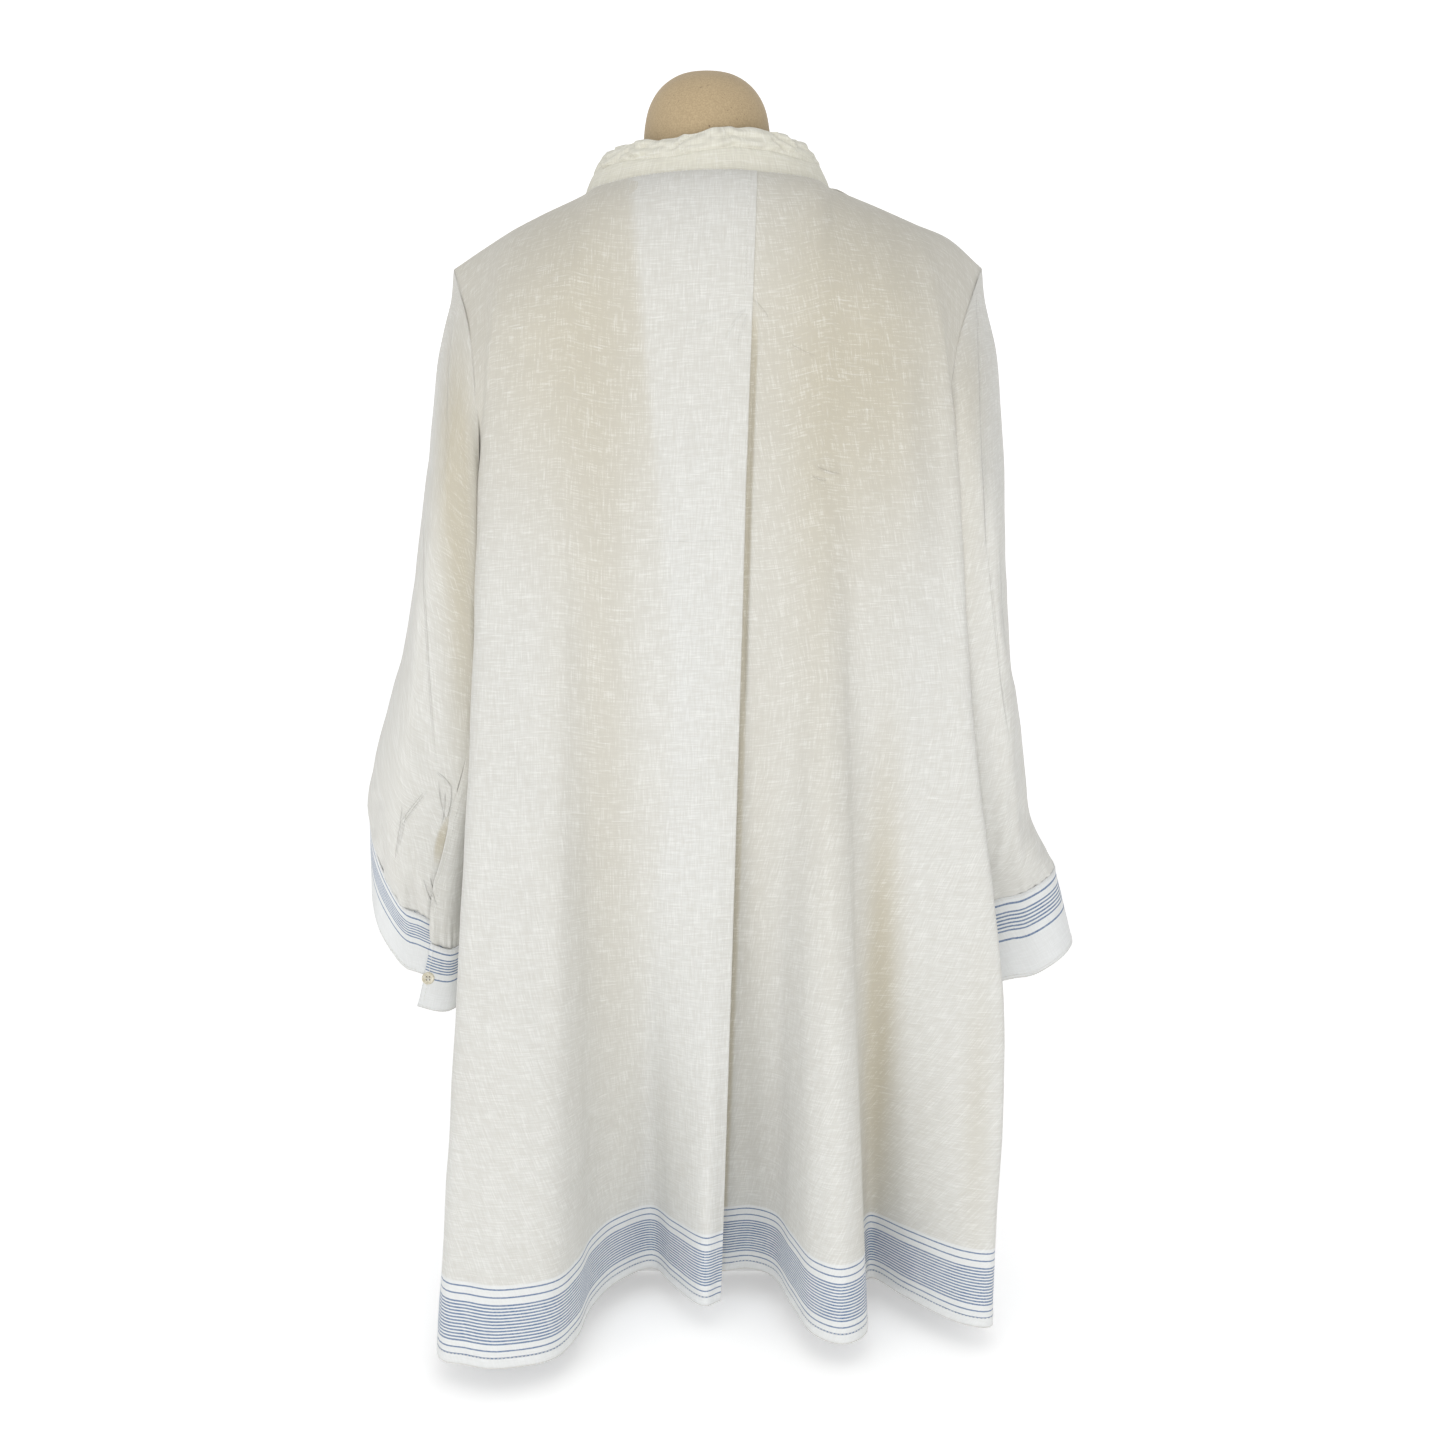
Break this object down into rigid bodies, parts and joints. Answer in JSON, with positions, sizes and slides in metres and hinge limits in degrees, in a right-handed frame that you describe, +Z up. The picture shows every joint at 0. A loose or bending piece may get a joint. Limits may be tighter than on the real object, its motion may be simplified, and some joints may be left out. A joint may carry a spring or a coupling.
{
  "type": "tunic top on a dress form",
  "caption": "Long-sleeved linen tunic with a stand collar, back pleat and striped hem, worn by a limbless dress form on a stand.",
  "frame": {"origin": "on the floor, under the middle of the stand's post", "axes": "+Z up along the post, -Y towards the tunic's back, -X towards the wearer's left sleeve"},
  "size_m": [0.5863, 0.3022, 1.0145],
  "materials": {
    "linen": "ivory slub linen, plain weave, with blue woven border stripes",
    "shell_button": "ivory shell button, polished",
    "form_cloth": "tan jersey cover, matt",
    "stand_paint": "white painted steel"
  },
  "bodies": {
    "root": {"back_panel": "linen", "front_panel": "linen", "sleeve_left": "linen", "sleeve_right": "linen", "cuff_left": "linen", "cuff_right": "linen", "collar": "linen", "placket_over": "linen", "placket_under": "linen", "cuff_button_left": "shell_button", "cuff_button_right": "shell_button", "placket_button_1": "shell_button", "placket_button_2": "shell_button", "placket_button_3": "shell_button", "placket_button_4": "shell_button", "placket_button_5": "shell_button", "dress_form": "form_cloth", "stand_post": "stand_paint", "stand_base": "stand_paint"}
  },
  "joints": []
}
